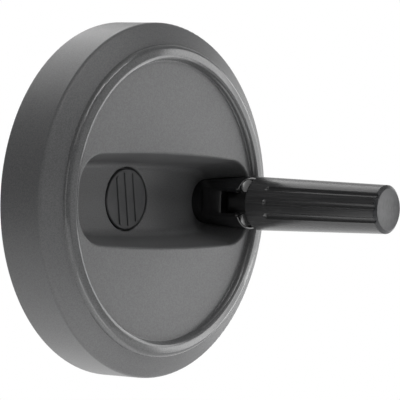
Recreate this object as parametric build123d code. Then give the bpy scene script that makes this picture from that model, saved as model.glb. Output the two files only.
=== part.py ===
from build123d import *
import os
from math import atan, cos, degrees, hypot, radians, tan

# Disc handwheel with a pull-out, fold-away revolving grip.
# Modelled with the wheel's axis on Z and the hub's back face at z = 0, the front face up;
# every piece is turned at the end so that the shaft axis lies on Y and the front faces -Y.

# ---- wheel, one moulding ----
wheel_d = 160.0           # over the rim at its back edge
rim_back_z = 25.0         # rim's back edge, from the hub's back face
rim_front_z = 47.5        # sharp corner of rim side and rim face
rim_taper = 0.5           # radius lost from back edge to front corner
rim_slope = 24.5          # fall of the rim face, degrees
rim_round = 2.0
rim_back_round = 0.8
rim_wall = 4.6            # skirt behind the rim
web = 4.0                 # disc and rim face
face_z = 52.0             # disc face
rim_face_w = 9.7          # rim face, from its corner in to the ring
ring_w = 7.1              # raised ring, over its feet
ring_lean = 0.5           # inner wall's lean outwards
ring_batter = 0.1         # outer wall's lean inwards
ring_rise = 3.2           # ring's inner edge over the disc face
ring_fall = 0.9           # ring top falls this much to its outer edge
ring_round = 2.3          # outer shoulder
ring_crest_round = 2.2    # inner shoulder
ring_foot_round = 0.4
ring_heel_round = 0.25    # outer foot, on the rim face
skirt_draft = 0.4
web_corner_round = 2.5    # behind, between web and skirt

# ---- recess the grip folds into ----
recess_half = 20.9        # half width at mid length, on the disc face
recess_bow = 800.0        # radius of the bowed long sides
recess_end_gap = 2.0      # end arcs, inside the ring's foot
recess_shift = 0.9        # recess centre, towards the post
recess_corner = 15.5
recess_draft = 10.0
floor_z = 28.0
floor_round = 4.0
lip_round = 1.2
trough_wall = 3.0

# ---- back ----
rib_t = 3.0
rib_short = 5.0           # rib edge this far inside the rim's back edge
rib_angles = (45, 90, 135, 225, 270, 315)
rib_foot_r = 6.0          # ribs start inside the hub
hub_r = 20.0
hub_draft = 0.5
hub_round = 1.0

# ---- hub ----
bore_d = 16.0
bush_d = 25.0
bush_len = 20.0
key_w = 5.0
key_d = 2.3
bore_chamfer = 0.5
fit_gap = 0.02            # pieces pressed or moulded into one another
chamber_r = 10.5          # room for the shaft's end screw
cap_r = 13.8
cap_gap = 0.9
cap_t = 3.0
cap_seat_round = 0.5      # mouth of the cap's seat
cap_rib_w = 1.2
cap_rib_h = 0.5
cap_rib_round = 0.35
cap_rib_pitch = 5.6
cap_rib_turn = 9.0
cap_rib_inset = 1.6
cap_bevel = 0.4
cap_skirt_t = 1.4
cap_skirt_clear = 1.6     # skirt's end to the bush
cap_skirt_gap = 0.15
grub_r = 3.0              # M6
grub_len = 9.0
grub_z = 9.0
grub_hex = 3.0
grub_socket_depth = 3.5
grub_bevel = 0.6
grub_hole_gap = 0.3       # through the hub's plastic
grub_back_off = 0.3       # tip to the bore
thread_gap = 0.04

# ---- post that carries the grip ----
post_inset = 4.4          # centre, inside the ring's foot
post_base_r = 10.5
post_top_r = 12.4
post_rise = 3.3           # over the disc face
post_round = 0.6
post_gap = 0.25           # shadow gap to the wheel
post_boss = 3.2           # wheel wall round the post
bowl_r = 11.5
bowl_wall = 2.4           # steep part of the bowl
bowl_draft = 0.6
bowl_depth = 5.0
pivot_drop = 7.9          # pivot below the post's top
slot_floor_gap = 0.5
seat_half = 6.6           # flat the folded grip's nose seats on
seat_up = 4.4             # it starts this far over the floor
ramp_up = 3.6             # slot's lead-in, over the seat's foot
ramp_run = 2.5
peg_r = 1.5
peg_h = 1.8
peg_hole_depth = 2.0
peg_pcd = 14.0
screw_r = 3.0             # M6
screw_hole_r = 3.3
screw_grip = 9.0          # screw length inside the post
screw_head_r = 5.25
screw_head_h = 3.3
screw_head_round = 1.6
screw_hex = 4.0
screw_socket_depth = 2.2
screw_tip_gap = 1.0
washer_r = 7.0
washer_t = 1.6

# ---- swivel ----
pin_r = 2.0
pin_len = 21.0
pin_bevel = 0.3
run_gap = 0.05            # radial, turning and sliding fits
arm_r = 4.8
arm_gap = 0.3             # arm to slot, each side
nose_rise = 9.0           # arm's shoulder above the pivot
rod_r = 3.5
stud_r = 2.5              # M5
stud_len = 7.5
stud_bevel = 0.5
spring_room = 33.0        # shoulder in the tube to end washer, grip home
end_washer_r = 5.0
end_washer_t = 1.0
nut_af = 8.0
nut_h = 5.0
spring_r = 4.45           # mean
spring_wire = 1.2
spring_coils = 8
spring_gap = 0.05
seat_gap = 0.3            # folded grip's nose to its seat

# ---- grip ----
nose_slope = 1.88         # radius gained per mm of nose
flange_w = 1.2            # flange over the tube
flange_t = 1.5
tube_r = 6.8
tube_bore_r = 5.4
tube_sole = 7.0           # solid foot of the tube, under the spring
tube_tail = 13.0          # tube past the arm's end washer
ring_t = 0.9              # retaining ring
ring_groove_d = 0.5
ring_gap_w = 3.4
ring_section = 1.7        # radial width of the retaining ring
lug_r = 0.9
lug_hole_r = 0.45
lug_out = 0.65            # lug's centre, over the tube
lug_side = 0.4            # lug's centre, beside the gap
ring_margin = 2.0         # tube left past the ring
slip_t = 0.8              # slip washer
slip_w = 1.4
end_gap = 0.1             # end float of the sleeve
grip_base_r = 12.5
grip_end_r = 10.95
grip_len = 69.4           # from the nose's rim to the end cap
grip_round = 1.2
pocket_r = 9.0
cap_bore_r = 9.3
end_cap_t = 1.4
end_cap_bevel = 1.5
end_cap_round = 0.6
end_cap_edge = 0.3        # straight edge under the bevel
plug_len = 4.0
plug_t = 1.5
plug_roof = 0.6           # end cap's thickness inside the grip
plug_tip_gap = 0.3
flute_r = 1.7
flute_d = 0.95
flute_step = 31.0
flute_turn = -4.0
flute_start = 11.5        # from the nose's rim, through the end cap
over = 1.0                # cuts run this far past a face, joins this far into one

# derived places
rim_r = wheel_d / 2
rim_corner_r = rim_r - rim_taper
ring_out_r = rim_corner_r - rim_face_w
ring_in_r = ring_out_r - ring_w
recess_end_r = ring_in_r - recess_end_gap
post_x = ring_in_r - post_inset
ring_foot_z = rim_front_z + (rim_corner_r - ring_out_r) * tan(radians(rim_slope))
ring_top_z = face_z + ring_rise
web_z = face_z - web
post_top_z = face_z + post_rise
pivot_z = post_top_z - pivot_drop
slot_half = arm_r + arm_gap
slot_floor_z = pivot_z - arm_r - slot_floor_gap
cap_seat_r = cap_r + cap_gap
cap_seat_z = floor_z - cap_t
chamber_h = cap_seat_z - bush_len
cap_skirt_len = chamber_h - cap_skirt_clear
nose_z = pivot_z + nose_rise
flange_r = tube_r + flange_w
grip_base_z = nose_z + (grip_base_r - arm_r) / nose_slope
grip_end_z = grip_base_z + grip_len
spring_seat_z = nose_z + tube_sole
washer_z = spring_seat_z + spring_room
tube_top_z = washer_z + end_washer_t + tube_tail
flange_top_z = nose_z + (flange_r - arm_r) / nose_slope + flange_t
sleeve_foot_z = flange_top_z + end_gap
ring_z = tube_top_z - ring_margin - ring_t
pocket_z = ring_z - slip_t - 2 * end_gap


def turned(points, rounds=()):
    """Solid of revolution about Z from (radius, height) points; rounds are (point, radius)."""
    face = make_face(Polyline(*points, close=True))
    for spot, radius in rounds:
        corner = face.vertices().sort_by_distance(Vector(*spot, 0))[0]
        face = fillet(corner, radius)
    return revolve(Plane.XZ * face, Axis.Z)


def post_radius(z, grow=0.0):
    share = (z - floor_z) / (post_top_z - floor_z)
    return post_base_r + (post_top_r - post_base_r) * share + grow


def frustum(z0, z1, grow=0.0):
    return turned([(0, z0), (post_radius(z0, grow), z0), (post_radius(z1, grow), z1), (0, z1)])


def recess_outline(grow=0.0):
    half = recess_half + grow
    side = Circle(recess_bow + half)
    face = Pos(0, -recess_bow) * side & Pos(0, recess_bow) * side
    face = face & Pos(recess_shift, 0) * Circle(recess_end_r + grow)
    return fillet(face.vertices(), recess_corner + grow)


def drafted(z_top, z_bottom, grow=0.0):
    """Recess form between two heights, narrowing downwards by the draft."""
    shrink = (z_top - z_bottom) * tan(radians(recess_draft))
    foot = Pos(0, 0, z_bottom) * recess_outline(grow - shrink)
    return loft([foot, Pos(0, 0, z_top) * recess_outline(grow)], ruled=True)


def hexagon(across_flats):
    return RegularPolygon(across_flats / 2, 6, major_radius=False)


# ================= wheel =================
skirt_r = rim_r - rim_wall
web_edge_z = ring_foot_z - (skirt_r - ring_out_r) * tan(radians(rim_slope)) - web / cos(radians(rim_slope))
web_bend_r = skirt_r - (web_z - web_edge_z) / tan(radians(rim_slope))
outer_top = (ring_out_r - ring_batter, ring_top_z - ring_fall)
shell = turned(
    [
        (0, face_z),
        (ring_in_r, face_z),
        (ring_in_r + ring_lean, ring_top_z),
        outer_top,
        (ring_out_r, ring_foot_z),
        (rim_corner_r, rim_front_z),
        (rim_r, rim_back_z),
        (rim_r - rim_wall, rim_back_z),
        (skirt_r - skirt_draft, web_edge_z),
        (web_bend_r, web_z),
        (0, web_z),
    ],
    rounds=[
        ((ring_in_r, face_z), ring_foot_round),
        ((ring_in_r + ring_lean, ring_top_z), ring_crest_round),
        (outer_top, ring_round),
        ((ring_out_r, ring_foot_z), ring_heel_round),
        ((rim_corner_r, rim_front_z), rim_round),
        ((rim_r, rim_back_z), rim_back_round),
        ((rim_r - rim_wall, rim_back_z), rim_back_round),
        ((skirt_r - skirt_draft, web_edge_z), web_corner_round),
    ],
)

trough = drafted(face_z, rim_back_z, trough_wall)
hub_boss = turned(
    [(0, 0), (hub_r - hub_draft, 0), (hub_r, rim_back_z), (hub_r, web_z), (0, web_z)],
    rounds=[((hub_r - hub_draft, 0), hub_round)],
)
post_boss_solid = Pos(post_x, 0, 0) * frustum(rim_back_z, web_z, post_gap + post_boss)

rib_h = web_z - rim_back_z - rib_short
rib_len = skirt_r - rib_foot_r + over
rib_box = Box(rib_len, rib_t, rib_h + over)
rib_place = Pos(rib_foot_r + rib_len / 2, 0, web_z - rib_h / 2 + over / 2)
ribs = [Rot(0, 0, angle) * rib_place * rib_box for angle in rib_angles]
wheel = shell + trough + hub_boss + post_boss_solid + ribs

recess = drafted(face_z, floor_z)
recess = fillet(recess.faces().sort_by(Axis.Z)[0].edges(), floor_round)
wheel -= recess
lip = [
    edge for edge in wheel.edges().filter_by_position(Axis.Z, face_z - fit_gap, face_z + fit_gap)
    if not edge.is_closed
]
wheel = fillet(lip, lip_round)

# hub seat, cap seat and chamber
wheel -= Pos(0, 0, bush_len / 2) * Cylinder(bush_d / 2 + fit_gap, bush_len)
wheel -= Pos(0, 0, bush_len + chamber_h / 2) * Cylinder(chamber_r, chamber_h)
cap_seat_h = cap_t + floor_round
wheel -= Pos(0, 0, cap_seat_z + cap_seat_h / 2) * Cylinder(cap_seat_r, cap_seat_h)
mouth = [
    edge for edge in wheel.edges().filter_by_position(Axis.Z, floor_z - fit_gap, floor_z + floor_round)
    if all(abs(hypot((edge @ share).X, (edge @ share).Y) - cap_seat_r) < fit_gap for share in (0, 0.5, 1))
]
wheel = fillet(mouth, cap_seat_round)
grub_way = Pos(0, hub_r / 2, grub_z) * Rot(90, 0, 0) * Cylinder(grub_r + grub_hole_gap, hub_r + over)
wheel -= grub_way

# post seat: the pocket, peg holes and the screw's way through the floor
wheel -= Pos(post_x, 0, 0) * frustum(floor_z, post_top_z + over, post_gap)
peg_spots = [Pos(post_x, s * peg_pcd / 2, 0) for s in (-1, 1)]
peg_hole = Pos(0, 0, floor_z - peg_hole_depth / 2) * Cylinder(peg_r + run_gap, peg_hole_depth)
wheel -= [spot * peg_hole for spot in peg_spots]
floor_t = floor_z - rim_back_z
wheel -= Pos(post_x, 0, floor_z - floor_t / 2) * Cylinder(screw_hole_r, floor_t)

# ================= hub pieces =================
bush = turned(
    [(bore_d / 2, 0), (bush_d / 2, 0), (bush_d / 2, bush_len), (bore_d / 2, bush_len)],
)
bush = chamfer(bush.edges().filter_by(GeomType.CIRCLE).sort_by(SortBy.RADIUS)[:2], bore_chamfer)
key_top = bore_d / 2 + key_d
bush -= Pos(0, -key_top / 2, bush_len / 2) * Box(key_w, key_top, bush_len)
bush -= Pos(0, bush_d / 2, grub_z) * Rot(90, 0, 0) * Cylinder(grub_r + thread_gap, bush_d)

grub_y = bore_d / 2 + grub_back_off
grub = Pos(0, grub_y + grub_len / 2, grub_z) * Rot(90, 0, 0) * Cylinder(grub_r, grub_len)
grub = chamfer(grub.edges().filter_by(GeomType.CIRCLE), grub_bevel)
grub_mouth = Plane((0, grub_y + grub_len, grub_z), x_dir=(1, 0, 0), z_dir=(0, -1, 0))
grub -= extrude(grub_mouth * hexagon(grub_hex), grub_socket_depth)

cap = Pos(0, 0, cap_seat_z + cap_t / 2) * Cylinder(cap_r, cap_t)
cap = chamfer(cap.edges().group_by(Axis.Z)[-1], cap_bevel)
cap_disc = Pos(0, 0, floor_z) * Cylinder(cap_r - cap_rib_inset, 4 * cap_rib_h)
cap_bar = Box(cap_rib_w, 2 * cap_r, 2 * cap_rib_h)
cap_bar = fillet(cap_bar.edges().filter_by(Axis.Y).group_by(Axis.Z)[-1], cap_rib_round)
for place in (-1, 0, 1):
    cap += Rot(0, 0, cap_rib_turn) * Pos(place * cap_rib_pitch, 0, floor_z) * cap_bar & cap_disc
skirt_out = chamber_r - cap_skirt_gap
cap += turned([
    (skirt_out - cap_skirt_t, cap_seat_z - cap_skirt_len),
    (skirt_out, cap_seat_z - cap_skirt_len),
    (skirt_out, cap_seat_z + over),
    (skirt_out - cap_skirt_t, cap_seat_z + over),
])

# ================= post =================
post = turned(
    [(0, floor_z), (post_base_r, floor_z), (post_top_r, post_top_z), (0, post_top_z)],
    rounds=[((post_top_r, post_top_z), post_round)],
)
bowl_z = post_top_z - bowl_depth
post -= turned([
    (0, bowl_z), (slot_half, bowl_z), (bowl_r - bowl_draft, post_top_z - bowl_wall),
    (bowl_r, post_top_z), (bowl_r, post_top_z + over), (0, post_top_z + over),
])
slot_h = post_top_z - slot_floor_z + over
slot_out = post_top_r + over
slot_in = arm_r + slot_floor_gap
post -= (
    Pos((slot_in - slot_out) / 2, 0, slot_floor_z + slot_h / 2)
    * Box(slot_out + slot_in, 2 * slot_half, slot_h)
)
seat_x = nose_rise - seat_gap
seat_z = floor_z + seat_up
seat_h = post_top_z - seat_z + over
post -= Pos(-seat_x - post_top_r / 2, 0, seat_z + seat_h / 2) * Box(post_top_r, 2 * seat_half, seat_h)
ramp = Plane.XZ * make_face(Polyline(
    (-seat_x - over, seat_z + ramp_up), (-seat_x, seat_z + ramp_up),
    (-seat_x + ramp_run, slot_floor_z), (-seat_x + ramp_run, slot_floor_z + over),
    (-seat_x - over, slot_floor_z + over), close=True))
post -= extrude(ramp, slot_half, both=True)
post -= Pos(0, 0, pivot_z) * Rot(90, 0, 0) * Cylinder(pin_r + fit_gap, 4 * post_top_r)
tapping = screw_grip + screw_tip_gap
post -= Pos(0, 0, floor_z + tapping / 2) * Cylinder(screw_r + thread_gap, tapping)
peg = Pos(0, 0, floor_z + (over - peg_h) / 2) * Cylinder(peg_r, peg_h + over)
post += [Pos(0, side * peg_pcd / 2, 0) * peg for side in (-1, 1)]
post = Pos(post_x, 0, 0) * post

washer = Cylinder(washer_r, washer_t) - Cylinder(screw_hole_r, washer_t)
washer = Pos(post_x, 0, rim_back_z - washer_t / 2) * washer
head_z = rim_back_z - washer_t
screw = Pos(0, 0, head_z - screw_head_h / 2) * Cylinder(screw_head_r, screw_head_h)
screw = fillet(screw.edges().group_by(Axis.Z)[0], screw_head_round)
shank_len = floor_t + washer_t + screw_grip
screw += Pos(0, 0, head_z + shank_len / 2) * Cylinder(screw_r, shank_len)
screw -= extrude(Pos(0, 0, head_z - screw_head_h) * hexagon(screw_hex), screw_socket_depth)
screw = Pos(post_x, 0, 0) * screw

pin = Pos(post_x, 0, pivot_z) * Rot(90, 0, 0) * Cylinder(pin_r, pin_len)
pin = chamfer(pin.edges().filter_by(GeomType.CIRCLE), pin_bevel)

# ================= swivel arm =================
arm_round = Pos(0, 0, pivot_z) * Rot(90, 0, 0) * Cylinder(arm_r, 4 * arm_r)
arm_upper = Pos(0, 0, pivot_z + nose_rise / 2) * Cylinder(arm_r, nose_rise)
arm_lower = Pos(0, 0, pivot_z) * Cylinder(arm_r, 2 * arm_r) & arm_round
spindle = arm_upper + arm_lower
rod_len = washer_z - nose_z
spindle += Pos(0, 0, nose_z + rod_len / 2) * Cylinder(rod_r, rod_len)
stud = Pos(0, 0, washer_z + stud_len / 2) * Cylinder(stud_r, stud_len)
stud = chamfer(stud.edges().group_by(Axis.Z)[-1], stud_bevel)
spindle += stud
spindle -= Pos(0, 0, pivot_z) * Rot(90, 0, 0) * Cylinder(pin_r + run_gap, 4 * arm_r)

end_washer = Pos(0, 0, washer_z + end_washer_t / 2) * (
    Cylinder(end_washer_r, end_washer_t) - Cylinder(stud_r + thread_gap, end_washer_t))
nut_z = washer_z + end_washer_t
nut = extrude(Pos(0, 0, nut_z) * (hexagon(nut_af) - Circle(stud_r + thread_gap)), nut_h)

# closed ends lie on their seats
coil_h = spring_room - spring_wire - 2 * spring_gap
coil = Helix(coil_h / spring_coils, coil_h, spring_r)
wire = Plane(coil @ 0, z_dir=coil % 0) * Circle(spring_wire / 2)
spring = Pos(0, 0, spring_seat_z + spring_wire / 2 + spring_gap) * sweep(wire, coil)

# ================= guide tube =================
tube = turned([
    (rod_r + run_gap, nose_z),
    (arm_r, nose_z),
    (flange_r, flange_top_z - flange_t),
    (flange_r, flange_top_z),
    (tube_r, flange_top_z),
    (tube_r, tube_top_z),
    (tube_bore_r, tube_top_z),
    (tube_bore_r, spring_seat_z),
    (rod_r + run_gap, spring_seat_z),
])
groove_r = tube_r - ring_groove_d
groove_h = ring_t + end_gap
tube -= Pos(0, 0, ring_z + ring_t / 2) * (Cylinder(tube_r + over, groove_h) - Cylinder(groove_r, groove_h))

clip_out_r = groove_r + ring_section
clip_gap = Pos(clip_out_r, 0) * Rectangle(2 * clip_out_r, ring_gap_w)
clip = Circle(clip_out_r) - Circle(groove_r + fit_gap) - clip_gap
lug = Circle(lug_r) - Circle(lug_hole_r)
for side in (-1, 1):
    clip += Pos(tube_r + lug_out, side * (ring_gap_w / 2 + lug_side)) * lug - Circle(tube_r + end_gap)
clip = Pos(0, 0, ring_z) * extrude(clip, ring_t)

slip_out_r = tube_r + slip_w
slip = Pos(0, 0, ring_z - end_gap - slip_t / 2) * (
    Cylinder(slip_out_r, slip_t) - Cylinder(tube_r + run_gap, slip_t))

# ================= grip =================
foot_r = flange_r + arm_gap
foot_z = nose_z + (foot_r - arm_r) / nose_slope
sleeve = turned(
    [
        (foot_r, foot_z),
        (grip_base_r, grip_base_z),
        (grip_end_r, grip_end_z),
        (cap_bore_r, grip_end_z),
        (cap_bore_r, grip_end_z - plug_len - plug_tip_gap),
        (pocket_r, grip_end_z - plug_len - plug_tip_gap),
        (pocket_r, pocket_z),
        (tube_r + run_gap, pocket_z),
        (tube_r + run_gap, sleeve_foot_z),
        (foot_r, sleeve_foot_z),
    ],
    rounds=[((grip_base_r, grip_base_z), grip_round)],
)
lean = degrees(atan((grip_base_r - grip_end_r) / grip_len))
start_r = grip_base_r - (grip_base_r - grip_end_r) * flute_start / grip_len
flute = Pos(0, 0, grip_len / 2) * Cylinder(flute_r, grip_len) + Sphere(flute_r)
flute = Pos(start_r + flute_r - flute_d, 0, grip_base_z + flute_start) * Rot(0, -lean, 0) * flute
flute_turns = [side + flute_turn + step * flute_step for side in (180, 0) for step in (-1, 0, 1)]
sleeve -= [Rot(0, 0, turn) * flute for turn in flute_turns]

end_cap = turned(
    [
        (0, grip_end_z + end_cap_t),
        (grip_end_r - end_cap_bevel, grip_end_z + end_cap_t),
        (grip_end_r, grip_end_z + end_cap_edge),
        (grip_end_r, grip_end_z),
        (cap_bore_r - run_gap, grip_end_z),
        (cap_bore_r - run_gap, grip_end_z - plug_len),
        (cap_bore_r - plug_t, grip_end_z - plug_len),
        (cap_bore_r - plug_t, grip_end_z - plug_roof),
        (0, grip_end_z - plug_roof),
    ],
    rounds=[((grip_end_r - end_cap_bevel, grip_end_z + end_cap_t), end_cap_round)],
)
# the flutes run out straight through the cap's edge
cap_flute = Pos(grip_end_r + flute_r - flute_d, 0, grip_end_z) * Cylinder(flute_r, 4 * end_cap_t)
end_cap -= [Rot(0, 0, turn) * cap_flute for turn in flute_turns]

pieces = {
    "wheel_body": wheel,
    "hub_bush": bush,
    "hub_grub_screw": grub,
    "hub_cap": cap,
    "grip_post": post,
    "post_washer": washer,
    "post_screw": screw,
    "pivot_pin": pin,
}
on_post = {
    "swivel_spindle": spindle,
    "spindle_washer": end_washer,
    "spindle_nut": nut,
    "pull_spring": spring,
    "guide_tube": tube,
    "retaining_ring": clip,
    "slip_washer": slip,
    "grip_sleeve": sleeve,
    "grip_end_cap": end_cap,
}
for name, piece in on_post.items():
    pieces[name] = Pos(post_x, 0, 0) * piece

os.makedirs("parts", exist_ok=True)
for name, piece in pieces.items():
    export_step(Rot(90, 0, 0) * piece, f"parts/{name}.step")
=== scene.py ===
import math

import bmesh
import bpy
from mathutils import Matrix, Vector


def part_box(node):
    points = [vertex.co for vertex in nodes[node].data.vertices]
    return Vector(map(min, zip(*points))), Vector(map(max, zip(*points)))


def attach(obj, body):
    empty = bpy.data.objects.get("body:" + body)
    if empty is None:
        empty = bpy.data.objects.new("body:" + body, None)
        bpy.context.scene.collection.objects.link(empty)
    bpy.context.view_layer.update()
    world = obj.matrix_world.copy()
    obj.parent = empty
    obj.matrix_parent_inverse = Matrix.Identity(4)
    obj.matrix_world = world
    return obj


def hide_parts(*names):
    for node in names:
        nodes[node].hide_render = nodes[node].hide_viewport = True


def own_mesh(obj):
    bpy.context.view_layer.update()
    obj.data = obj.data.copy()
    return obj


# Looks of a disc handwheel with a fold-away revolving grip.
# The solids come from the frame; this script gives them their finishes, light and camera.

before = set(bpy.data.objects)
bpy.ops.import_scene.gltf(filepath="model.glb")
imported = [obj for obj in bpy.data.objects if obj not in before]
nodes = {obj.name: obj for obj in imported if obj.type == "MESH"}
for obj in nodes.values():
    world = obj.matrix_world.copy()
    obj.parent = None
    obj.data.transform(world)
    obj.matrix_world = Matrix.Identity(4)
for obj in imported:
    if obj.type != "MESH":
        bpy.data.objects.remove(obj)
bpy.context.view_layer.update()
print("frame loaded:", len(nodes), "nodes")

cameraSetup = {
    "azimuth": -52.1,      # degrees, 0 looks along +Y
    "elevation": 0.6,
    "roll": 2.2,
    "anchor": (0.0, -0.0547, 0.0),   # middle of the raised ring's front
    "distance": 0.891,     # to the anchor
    "aim": (0.01225, 0.00058),       # right and up of the anchor
    "lens": 180.0,
    "sensor": 36.0,
    "clip": (0.01, 20.0),
}


def makeCamera(setup):
    data = bpy.data.cameras.new("camera")
    data.lens, data.sensor_width = setup["lens"], setup["sensor"]
    data.clip_start, data.clip_end = setup["clip"]
    camera = bpy.data.objects.new("camera", data)
    bpy.context.scene.collection.objects.link(camera)
    turn = (
        Matrix.Rotation(math.radians(setup["azimuth"]), 4, "Z")
        @ Matrix.Rotation(math.radians(90 - setup["elevation"]), 4, "X")
        @ Matrix.Rotation(math.radians(setup["roll"]), 4, "Z")
    )
    aim = Vector((*setup["aim"], setup["distance"]))
    camera.matrix_world = Matrix.Translation(Vector(setup["anchor"]) + turn.to_3x3() @ aim) @ turn
    bpy.context.scene.camera = camera


makeCamera(cameraSetup)


class Value:
    # a socket that takes part in arithmetic
    def __init__(self, finish, socket):
        self.finish, self.socket = finish, socket

    def join(self, operation, first, second, clamp=False):
        settings = {"operation": operation, "use_clamp": clamp}
        return self.finish.node("ShaderNodeMath", settings, {0: first, 1: second})

    def __add__(self, other):
        return self.join("ADD", self, other)

    def __sub__(self, other):
        return self.join("SUBTRACT", self, other)

    def __rsub__(self, other):
        return self.join("SUBTRACT", other, self)

    def __mul__(self, other):
        return self.join("MULTIPLY", self, other)

    __radd__ = __add__
    __rmul__ = __mul__


class Finish:
    # a material and the one way its nodes are made
    def __init__(self, name):
        self.material = bpy.data.materials.new(name)
        self.material.use_nodes = True
        self.tree = self.material.node_tree
        self.shader = self.tree.nodes["Principled BSDF"]

    def node(self, kind, settings=None, inputs=None, output=0):
        made = self.tree.nodes.new(kind)
        for key, value in (settings or {}).items():
            setattr(made, key, value)
        self.feed(made, inputs or {})
        return Value(self, made.outputs[output])

    def feed(self, made, inputs):
        for key, value in inputs.items():
            if isinstance(value, Value):
                self.tree.links.new(value.socket, made.inputs[key])
            elif isinstance(value, tuple) and len(value) == 3 and made.inputs[key].type == "RGBA":
                made.inputs[key].default_value = (*value, 1.0)
            else:
                made.inputs[key].default_value = value

    def place(self, scale=(1, 1, 1), shift=(0, 0, 0)):
        coords = self.node("ShaderNodeTexCoord", output="Object")
        return self.node("ShaderNodeMapping", inputs={
            "Vector": coords, "Scale": scale, "Location": shift})

    def vector(self, operation, *inputs):
        return self.node(
            "ShaderNodeVectorMath", {"operation": operation}, dict(enumerate(inputs)), output="Value")

    def length(self, vector):
        return self.vector("LENGTH", vector)

    def noise(self, vector, scale, detail=2.0, roughness=0.5):
        return self.node("ShaderNodeTexNoise", inputs={
            "Vector": vector, "Scale": scale, "Detail": detail, "Roughness": roughness})

    def rise(self, value, low, high):
        # 0 under low, 1 over high
        return self.node("ShaderNodeMapRange", {"interpolation_type": "SMOOTHSTEP"}, {
            "Value": value, "From Min": low, "From Max": high})

    def vary(self, middle, *parts):
        # each noise swings the middle value by its own amount
        low = middle - sum(amount for _, amount in parts) / 2
        return sum((noise * amount for noise, amount in parts), low)

    def bump(self, height, strength, distance):
        return self.node("ShaderNodeBump", inputs={
            "Height": height, "Strength": strength, "Distance": distance})

    def blend(self, factor, first, second):
        inputs = {0: factor, 6: first, 7: second}
        return self.node("ShaderNodeMix", {"data_type": "RGBA"}, inputs, output=2)

    def shade(self, inputs):
        self.feed(self.shader, inputs)
        return self.material


def dress(names, material):
    for name in names:
        slots = nodes[name].data.materials
        slots.clear()
        slots.append(material)


wheelLook = {
    "dark": (0.074, 0.075, 0.077),
    "light": (0.144, 0.145, 0.147),
    "grainShare": 0.6,           # of the colour's variation, the rest is clouds
    "grainEdges": (0.3, 0.7),    # noise where a grain is all dark and all light
    "roughness": 0.44,
    "cloudRoughness": 0.05,
    "grainRoughness": 0.08,
    "grainSize": 0.00055,        # spark-eroded mould texture
    "grainDepth": 0.00009,
    "fineness": 2.7,             # of the finer grain, over the coarse one's
    "fineShare": 0.3,
    "bump": 0.6,
    "cloudSize": 0.03,
    "ring": (0.0619, 0.0630, 0.0694, 0.0703),   # radii where the polished ring begins and ends
    "ringRoughness": 0.10,
    "ringGrain": 0.2,
    "refraction": 1.53,
}


def wheelPlastic(look):
    # moulded texture with faint clouds, and a ring that the mould leaves smoother
    finish = Finish("wheel_plastic")
    place = finish.place()
    radius = finish.length(finish.place((1, 0, 1)))
    ringIn, ringFull, ringEbb, ringOut = look["ring"]
    ring = finish.rise(radius, ringIn, ringFull) * (1 - finish.rise(radius, ringEbb, ringOut))
    cloud = finish.noise(place, 1 / look["cloudSize"], 3)
    grain = finish.noise(place, 1 / look["grainSize"], 2, 0.6)
    fine = finish.noise(place, look["fineness"] / look["grainSize"], 1)
    height = grain * (1 - look["fineShare"]) + fine * look["fineShare"]
    specks = finish.rise(grain, *look["grainEdges"]) * look["grainShare"]
    rough = finish.vary(
        look["roughness"], (cloud, look["cloudRoughness"]), (grain, look["grainRoughness"]))
    return finish.shade({
        "Base Color": finish.blend(
            specks + cloud * (1 - look["grainShare"]), look["dark"], look["light"]),
        "Roughness": rough - ring * (look["roughness"] - look["ringRoughness"]),
        "Normal": finish.bump(
            height * (1 - ring * (1 - look["ringGrain"])), look["bump"], look["grainDepth"]),
        "IOR": look["refraction"],
    })


coverLook = {
    "dark": (0.056, 0.057, 0.059),
    "light": (0.074, 0.075, 0.078),
    "mottleEdges": (0.38, 0.62),
    "roughness": 0.5,
    "grainRoughness": 0.1,
    "grainSize": 0.0004,
    "grainDepth": 0.00002,
    "clouds": 90.0,          # to the metre
    "bump": 0.5,
}


def coverPlastic(look):
    # a plain moulded cover, faintly mottled
    finish = Finish("cap_plastic")
    place = finish.place()
    grain = finish.noise(place, 1 / look["grainSize"], 3, 0.6)
    cloud = finish.noise(place, look["clouds"], 2)
    tone = finish.rise(cloud * 0.5 + grain * 0.5, *look["mottleEdges"])
    return finish.shade({
        "Base Color": finish.blend(tone, look["dark"], look["light"]),
        "Roughness": finish.vary(look["roughness"], (grain, look["grainRoughness"])),
        "Normal": finish.bump(grain, look["bump"], look["grainDepth"]),
    })


endCoverLook = {
    "dark": (0.010, 0.011, 0.013),
    "light": (0.040, 0.041, 0.044),
    "mottleEdges": (0.35, 0.65),
    "roughness": 0.42,
    "scuffRoughness": 0.16,
    "edgeRoughness": 0.05,
    "dish": 5.0,                      # height over radius squared
    "edgeRadii": (0.0035, 0.0105),    # where it begins to darken and is darkest
    # share of the colour taken away by the painted shade at the edge
    "paintedEdgeShade": 0.55,
    "scuffs": 900.0,                  # to the metre
    "scuffStretch": (1, 1, 0.4),
    "scuffDepth": 0.00005,
    "clouds": 260.0,
}


def dishedPlastic(look):
    # a slightly dished, scuffed cap, with shade painted into its colour that darkens towards its edge
    finish = Finish("end_cap_plastic")
    low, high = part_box("grip_end_cap")
    radius = finish.length(finish.place((1, 0, 1), (-(low.x + high.x) / 2, 0, -(low.z + high.z) / 2)))
    scuff = finish.noise(finish.place(look["scuffStretch"]), look["scuffs"], 4, 0.65)
    cloud = finish.noise(finish.place(), look["clouds"], 3)
    edge = finish.rise(radius, *look["edgeRadii"])
    # painted shade: the colour is darkened towards the cap's edge
    tone = finish.rise(cloud * 0.5 + scuff * 0.5, *look["mottleEdges"]) * (1 - edge * look["paintedEdgeShade"])
    rough = finish.vary(look["roughness"], (scuff, look["scuffRoughness"]))
    height = radius * radius * look["dish"] + scuff * look["scuffDepth"]
    return finish.shade({
        "Base Color": finish.blend(tone, look["dark"], look["light"]),
        "Roughness": rough + edge * look["edgeRoughness"],
        "Normal": finish.bump(height, 1.0, 1.0),
    })


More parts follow.
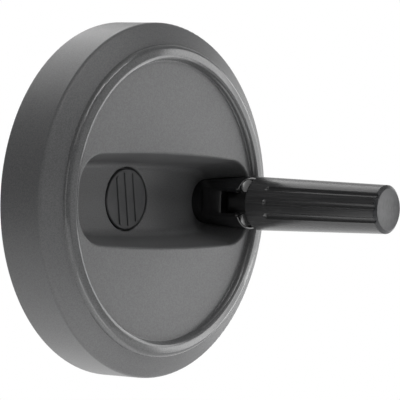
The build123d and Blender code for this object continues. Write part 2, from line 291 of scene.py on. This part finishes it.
glossLook = {
    "dark": (0.009, 0.009, 0.0095),
    "light": (0.014, 0.014, 0.015),
    "roughness": 0.14,
    "smear": 0.06,           # swing in roughness
    "smearSize": 0.0024,
    "smearEdges": (0.35, 0.65),
    "stretch": 0.35,         # the smears' width over their length along the grip
    "waveSize": 0.004,
    "waveDepth": 0.000012,
    "waveBump": 0.4,
    "refraction": 1.52,
}
sleeveLook = {
    "dark": (0.036, 0.036, 0.037),
    "light": (0.050, 0.050, 0.051),
    "roughness": 0.27,
    "smear": 0.07,
    "smearSize": 0.001,
    "smearEdges": (0.35, 0.65),
    "stretch": 0.03,
    "waveSize": 0.006,
    "waveDepth": 0.000015,
    "waveBump": 0.4,
    "refraction": 1.52,
}


def glossBlack(name, look):
    # polished black with the streaks that handling leaves, and a slight mould waviness
    finish = Finish(name)
    smear = finish.noise(finish.place((1, look["stretch"], 1)), 1 / look["smearSize"], 3, 0.6)
    waves = finish.noise(finish.place(), 1 / look["waveSize"], 1)
    tone = finish.rise(smear, *look["smearEdges"])
    return finish.shade({
        "Base Color": finish.blend(tone, look["dark"], look["light"]),
        "Roughness": finish.vary(look["roughness"], (smear, look["smear"])),
        "Normal": finish.bump(waves, look["waveBump"], look["waveDepth"]),
        "IOR": look["refraction"],
    })


tubeLook = {"dark": (0.038, 0.038, 0.039), "light": (0.056, 0.056, 0.057), "roughness": 0.36}
armLook = {"dark": (0.010, 0.010, 0.0105), "light": (0.018, 0.018, 0.019), "roughness": 0.5}
mattTexture = {
    "grains": 1400.0,        # to the metre
    "mottles": 380.0,
    "grainRoughness": 0.1,
    "bump": 0.4,
    "depth": 0.00001,
}


def mattBlack(name, look, texture):
    # a fine, even black with a faint mottle
    finish = Finish(name)
    grain = finish.noise(finish.place(), texture["grains"], 2)
    mottle = finish.noise(finish.place(), texture["mottles"], 3, 0.6)
    return finish.shade({
        "Base Color": finish.blend(grain * 0.5 + mottle * 0.5, look["dark"], look["light"]),
        "Roughness": finish.vary(look["roughness"], (grain, texture["grainRoughness"])),
        "Normal": finish.bump(grain, texture["bump"], texture["depth"]),
    })


steelLooks = {
    "dark_steel": {
        "dark": (0.045, 0.045, 0.048), "light": (0.085, 0.083, 0.082), "roughness": 0.34, "lines": 2200.0},
    "zinc_steel": {
        "dark": (0.50, 0.52, 0.55), "light": (0.66, 0.67, 0.68), "roughness": 0.3, "lines": 1600.0},
    "spring_steel": {
        "dark": (0.22, 0.215, 0.21), "light": (0.34, 0.335, 0.33), "roughness": 0.28, "lines": 900.0},
}
steelTexture = {
    "stretch": 0.02,         # a line's width over its length round the shaft
    "mottles": 420.0,        # to the metre
    "lineRoughness": 0.12,
    "mottleRoughness": 0.1,
    "bump": 0.35,
    "depth": 0.00001,
}


def turnedSteel(name, look, texture):
    # fine turning lines round the shaft's axis, under a thin mottled coat
    finish = Finish(name)
    stretch = texture["stretch"]
    lines = finish.noise(finish.place((stretch, 1, stretch)), look["lines"], 2)
    mottle = finish.noise(finish.place(), texture["mottles"], 4, 0.6)
    return finish.shade({
        "Base Color": finish.blend(mottle, look["dark"], look["light"]),
        "Metallic": 1.0,
        "Roughness": finish.vary(
            look["roughness"], (lines, texture["lineRoughness"]), (mottle, texture["mottleRoughness"])),
        "Normal": finish.bump(lines, texture["bump"], texture["depth"]),
    })


dress(["wheel_body"], wheelPlastic(wheelLook))
dress(["hub_cap"], coverPlastic(coverLook))
dress(["grip_end_cap"], dishedPlastic(endCoverLook))
dress(["grip_post"], glossBlack("gloss_black", glossLook))
dress(["grip_sleeve"], glossBlack("satin_black", sleeveLook))
dress(["guide_tube", "slip_washer"], mattBlack("nose_plastic", tubeLook, mattTexture))
dress(["swivel_spindle", "pivot_pin"], mattBlack("burnished_steel", armLook, mattTexture))
steels = {name: turnedSteel(name, look, steelTexture) for name, look in steelLooks.items()}
dress(["hub_bush", "hub_grub_screw"], steels["dark_steel"])
dress(["post_washer", "post_screw", "spindle_washer", "spindle_nut"], steels["zinc_steel"])
dress(["pull_spring", "retaining_ring"], steels["spring_steel"])
print("finishes on", len(nodes), "nodes")


smoothing = {"weldDistance": 1e-6, "splitAngle": 28.0}


def smoothSolids(setup):
    # soft shading over the curved faces, with the true edges kept sharp
    for node in nodes.values():
        node.data.polygons.foreach_set("use_smooth", [True] * len(node.data.polygons))
        weld = node.modifiers.new("weld", "WELD")
        weld.merge_threshold = setup["weldDistance"]
        split = node.modifiers.new("split", "EDGE_SPLIT")
        split.split_angle = math.radians(setup["splitAngle"])
        even = node.modifiers.new("even", "WEIGHTED_NORMAL")
        even.keep_sharp = True


smoothSolids(smoothing)

springLook = {
    "wire": 0.0012,
    "coils": 8,
    "wireSides": 12,
    "stepsPerCoil": 28,
    "room": 0.033,       # from the tube's shoulder to the end washer
    "travel": 0.0105,    # taken from that room as the grip is pulled
}


def coilSpring(look):
    # the spring drawn up between its seats
    low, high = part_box("pull_spring")
    centre = (low + high) / 2
    wireRadius = look["wire"] / 2
    start = Vector((high.x - wireRadius, high.y - wireRadius, centre.z))
    steps = look["coils"] * look["stepsPerCoil"]
    drop = (high.y - low.y - look["wire"]) / steps
    shape = bmesh.new()
    bmesh.ops.create_circle(shape, cap_ends=True, segments=look["wireSides"], radius=wireRadius)
    bmesh.ops.translate(shape, verts=shape.verts, vec=start)
    bmesh.ops.spin(
        shape, geom=shape.verts[:] + shape.edges[:] + shape.faces[:], cent=centre, axis=(0, -1, 0),
        dvec=(0, -drop, 0), angle=math.tau * look["coils"], steps=steps)
    bmesh.ops.recalc_face_normals(shape, faces=shape.faces)
    mesh = bpy.data.meshes.new("coil_spring")
    shape.to_mesh(mesh)
    shape.free()
    # the wire's two cut ends stay flat
    mesh.polygons.foreach_set("use_smooth", [len(face.vertices) == 4 for face in mesh.polygons])
    mesh.materials.append(steels["spring_steel"])
    spring = bpy.data.objects.new("coil_spring", mesh)
    bpy.context.scene.collection.objects.link(spring)
    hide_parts("pull_spring")
    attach(spring, "arm")
    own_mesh(spring)


coilSpring(springLook)
print("spring coiled")

studio = {
    "floorDrop": 0.62,          # under the rim
    "floorRadius": 3.0,
    "floorSides": 64,
    "floorColour": (0.88, 0.88, 0.88),
    "floorRoughness": 0.9,
    "floorWhite": (0.0, 2.2),   # it fades into the white backdrop between these radii
    "floorGloss": 0.8,          # how white it looks in a reflection
    "backdropWay": (0.789, 0.614, 0.0),
    # how its whiteness in a reflection grows towards that way: from, to, gain
    "backdropSteps": [(-0.1, 0.75, 0.3), (0.3, 0.9, 0.2), (0.6, 0.97, 0.2)],
    "roomGloss": 0.05,          # the dark room in front of the object, in a reflection
    "ambient": 0.12,
    "lamps": {
        # name: (azimuth from +X, elevation, distance, width, height, watts)
        "topFront": (-90, 62, 1.4, 1.2, 0.8, 2.5),
        "topBack": (75, 47, 1.5, 1.4, 1.0, 8.5),
        "bottom": (-90, -60, 0.55, 0.58, 0.37, 0.5),
        "bottomBack": (75, -35, 0.75, 0.6, 0.37, 0.35),
        "upper": (-88, 42, 1.3, 1.1, 0.2, 4.2),
        "lower": (-88, -37, 0.85, 0.67, 0.14, 0.9),
        "rightWide": (-22, 0, 0.6, 0.5, 0.45, 1.15),
        "rightHigh": (-10, 14, 1.5, 0.45, 0.35, 0.8),
        "rightLow": (-10, -14, 1.5, 0.45, 0.35, 0.8),
        "left": (180, 3, 1.4, 0.5, 1.0, 2.0),
        "leftHigh": (-150, 42, 1.4, 0.8, 0.6, 1.3),
        "leftLow": (-150, -28, 0.9, 0.6, 0.37, 0.3),
        "rightFront": (-58, 0, 0.6, 0.4, 0.45, 0.22),
        "right": (-34, 0, 1.5, 0.35, 1.0, 1.8),
        "back": (80, 15, 1.7, 2.0, 1.6, 12.0),
    },
}


class Surroundings(Finish):
    # the world's nodes, made in the same way as a material's
    def __init__(self, world):
        world.use_nodes = True
        self.tree = world.node_tree
        self.shader = self.tree.nodes["Background"]


def seenBy(surface, ray):
    return surface.node("ShaderNodeLightPath", output="Is " + ray + " Ray")


def makeWorld(setup):
    # white to the camera; gloss and glass see the white backdrop behind the object and a dark room before it
    world = bpy.data.worlds.new("studio")
    bpy.context.scene.world = world
    world.cycles.sampling_method = "NONE"
    around = Surroundings(world)
    way = around.node("ShaderNodeTexCoord", output="Generated")
    toBackdrop = around.vector("DOT_PRODUCT", way, setup["backdropWay"])
    mirrored = sum(
        (around.rise(toBackdrop, low, high) * gain for low, high, gain in setup["backdropSteps"]),
        setup["roomGloss"])
    gloss = seenBy(around, "Glossy") + seenBy(around, "Transmission")
    strength = seenBy(around, "Camera") + gloss * mirrored
    diffuse = seenBy(around, "Diffuse") * setup["ambient"]
    around.feed(around.shader, {"Color": (1, 1, 1), "Strength": strength + diffuse})


def makeLamp(name, azimuth, elevation, distance, width, height, watts):
    data = bpy.data.lights.new(name, "AREA")
    data.shape, data.size, data.size_y, data.energy = "RECTANGLE", width, height, watts
    lamp = bpy.data.objects.new(name, data)
    lamp.visible_camera = False
    turn = (
        Matrix.Rotation(math.radians(azimuth + 90), 4, "Z")
        @ Matrix.Rotation(math.radians(90 - elevation), 4, "X")
    )
    lamp.matrix_world = turn @ Matrix.Translation((0, 0, distance))
    bpy.context.scene.collection.objects.link(lamp)


def makeFloor(setup):
    shape = bmesh.new()
    bmesh.ops.create_circle(
        shape, cap_ends=True, segments=setup["floorSides"], radius=setup["floorRadius"])
    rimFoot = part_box("wheel_body")[0].z
    bmesh.ops.translate(shape, verts=shape.verts, vec=(0, 0, rimFoot - setup["floorDrop"]))
    mesh = bpy.data.meshes.new("floor")
    shape.to_mesh(mesh)
    shape.free()
    floor = bpy.data.objects.new("floor", mesh)
    bpy.context.scene.collection.objects.link(floor)
    pale = Finish("floor")
    distance = pale.length(pale.place((1, 1, 0)))
    fade = pale.rise(distance, *setup["floorWhite"]) * seenBy(pale, "Camera")
    fade = fade + seenBy(pale, "Glossy") * setup["floorGloss"]
    mesh.materials.append(pale.shade({
        "Base Color": setup["floorColour"], "Roughness": setup["floorRoughness"], "Specular IOR Level": 0.0,
        "Emission Color": pale.blend(fade, (0, 0, 0), (1, 1, 1)), "Emission Strength": 1.0}))


makeWorld(studio)
for name, lamp in studio["lamps"].items():
    makeLamp(name, *lamp)
makeFloor(studio)
bpy.context.scene.view_settings.view_transform = "Standard"
print("studio ready")

print("scene ready")
